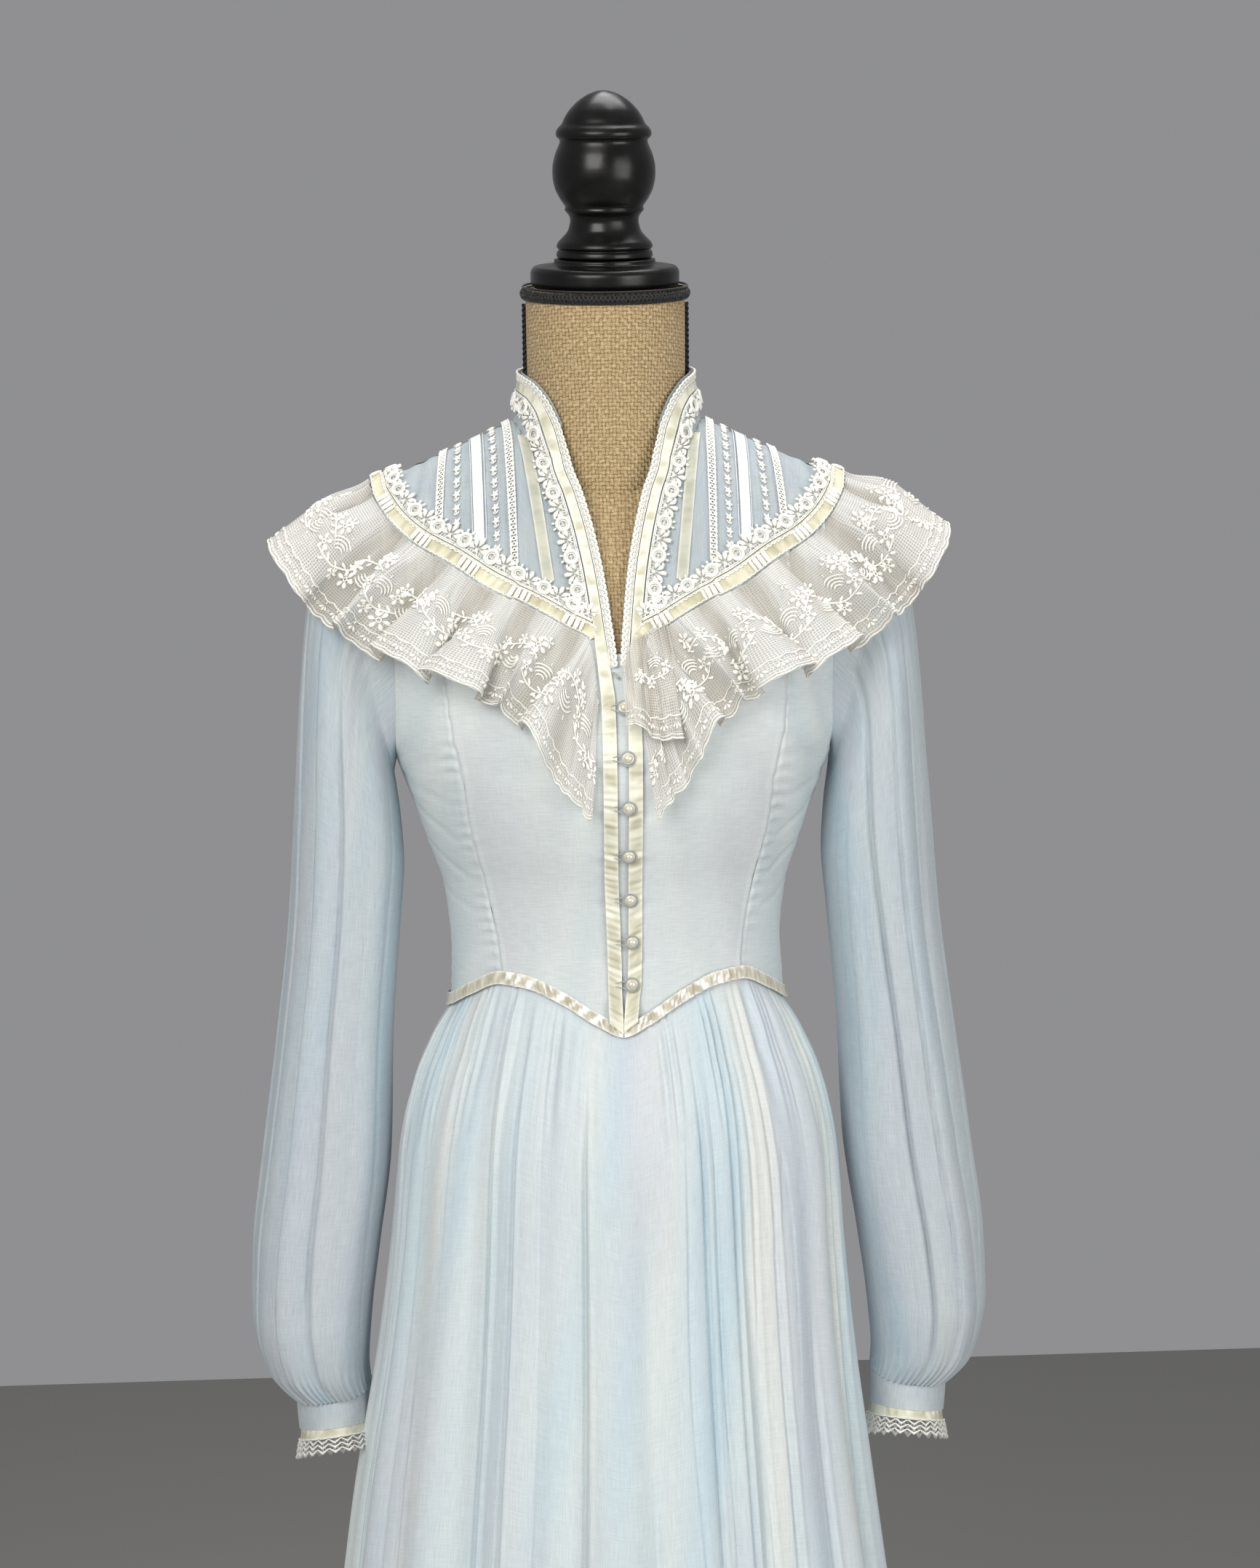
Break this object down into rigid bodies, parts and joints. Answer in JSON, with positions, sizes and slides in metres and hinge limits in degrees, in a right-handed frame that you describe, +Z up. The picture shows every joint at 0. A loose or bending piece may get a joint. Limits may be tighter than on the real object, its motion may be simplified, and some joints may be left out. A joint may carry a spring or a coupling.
{
  "type": "prairie dress on a dress form",
  "caption": "Long-sleeved, full-skirted voile dress with a lace ruffle and ribbon trims, standing on a limbless burlap dress form with a pole and round base.",
  "frame": {"origin": "middle of the stand base's underside, on the floor", "axes": "+Z up, the dress faces -Y, +X towards its left sleeve as worn"},
  "size_m": [0.4875, 0.4418, 1.6374],
  "materials": {
    "burlap": "coarse plain weave",
    "black_wood": "satin black lacquer",
    "black_braid": "matt gimp braid",
    "black_metal": "satin black paint",
    "blue_voile": "sheer crisp cotton voile",
    "cream_satin": "satin ribbon",
    "white_lace": "cotton lace",
    "ivory_net": "embroidered net",
    "pearl": "pearl lustre"
  },
  "bodies": {
    "root": {"form_torso": "burlap", "form_neck_cap": "black_wood", "form_finial": "black_wood", "form_neck_braid": "black_braid", "form_side_cord_left": "black_braid", "form_side_cord_right": "black_braid", "form_pole": "black_metal", "form_base": "black_metal", "bodice_front_centre_left": "blue_voile", "bodice_front_centre_right": "blue_voile", "bodice_front_side_left": "blue_voile", "bodice_front_side_right": "blue_voile", "bodice_back_centre": "blue_voile", "bodice_back_side_left": "blue_voile", "bodice_back_side_right": "blue_voile", "front_underlap": "blue_voile", "yoke_front_left": "blue_voile", "yoke_front_right": "blue_voile", "yoke_back": "blue_voile", "collar": "blue_voile", "sleeve_left": "blue_voile", "sleeve_right": "blue_voile", "cuff_left": "blue_voile", "cuff_right": "blue_voile", "skirt_front": "blue_voile", "skirt_back": "blue_voile", "yoke_cream_ribbon_left": "cream_satin", "yoke_cream_ribbon_right": "cream_satin", "front_ribbon_left": "cream_satin", "front_ribbon_right": "cream_satin", "ruffle_ribbon_left": "cream_satin", "ruffle_ribbon_right": "cream_satin", "cuff_ribbon_left": "cream_satin", "cuff_ribbon_right": "cream_satin", "waist_ribbon_left": "cream_satin", "waist_ribbon_right": "cream_satin", "yoke_eyelet_inner_left": "white_lace", "yoke_eyelet_inner_right": "white_lace", "yoke_white_band_left": "white_lace", "yoke_white_band_right": "white_lace", "yoke_eyelet_outer_left": "white_lace", "yoke_eyelet_outer_right": "white_lace", "neck_picot_left": "white_lace", "neck_picot_right": "white_lace", "neck_daisy_lace_left": "white_lace", "neck_daisy_lace_right": "white_lace", "ruffle_daisy_lace_left": "white_lace", "ruffle_daisy_lace_right": "white_lace", "cuff_lace_left": "white_lace", "cuff_lace_right": "white_lace", "ruffle_left": "ivory_net", "ruffle_right": "ivory_net", "pearl_button_1": "pearl", "pearl_button_2": "pearl", "pearl_button_3": "pearl", "pearl_button_4": "pearl", "pearl_button_5": "pearl", "pearl_button_6": "pearl", "pearl_button_7": "pearl"}
  },
  "joints": []
}
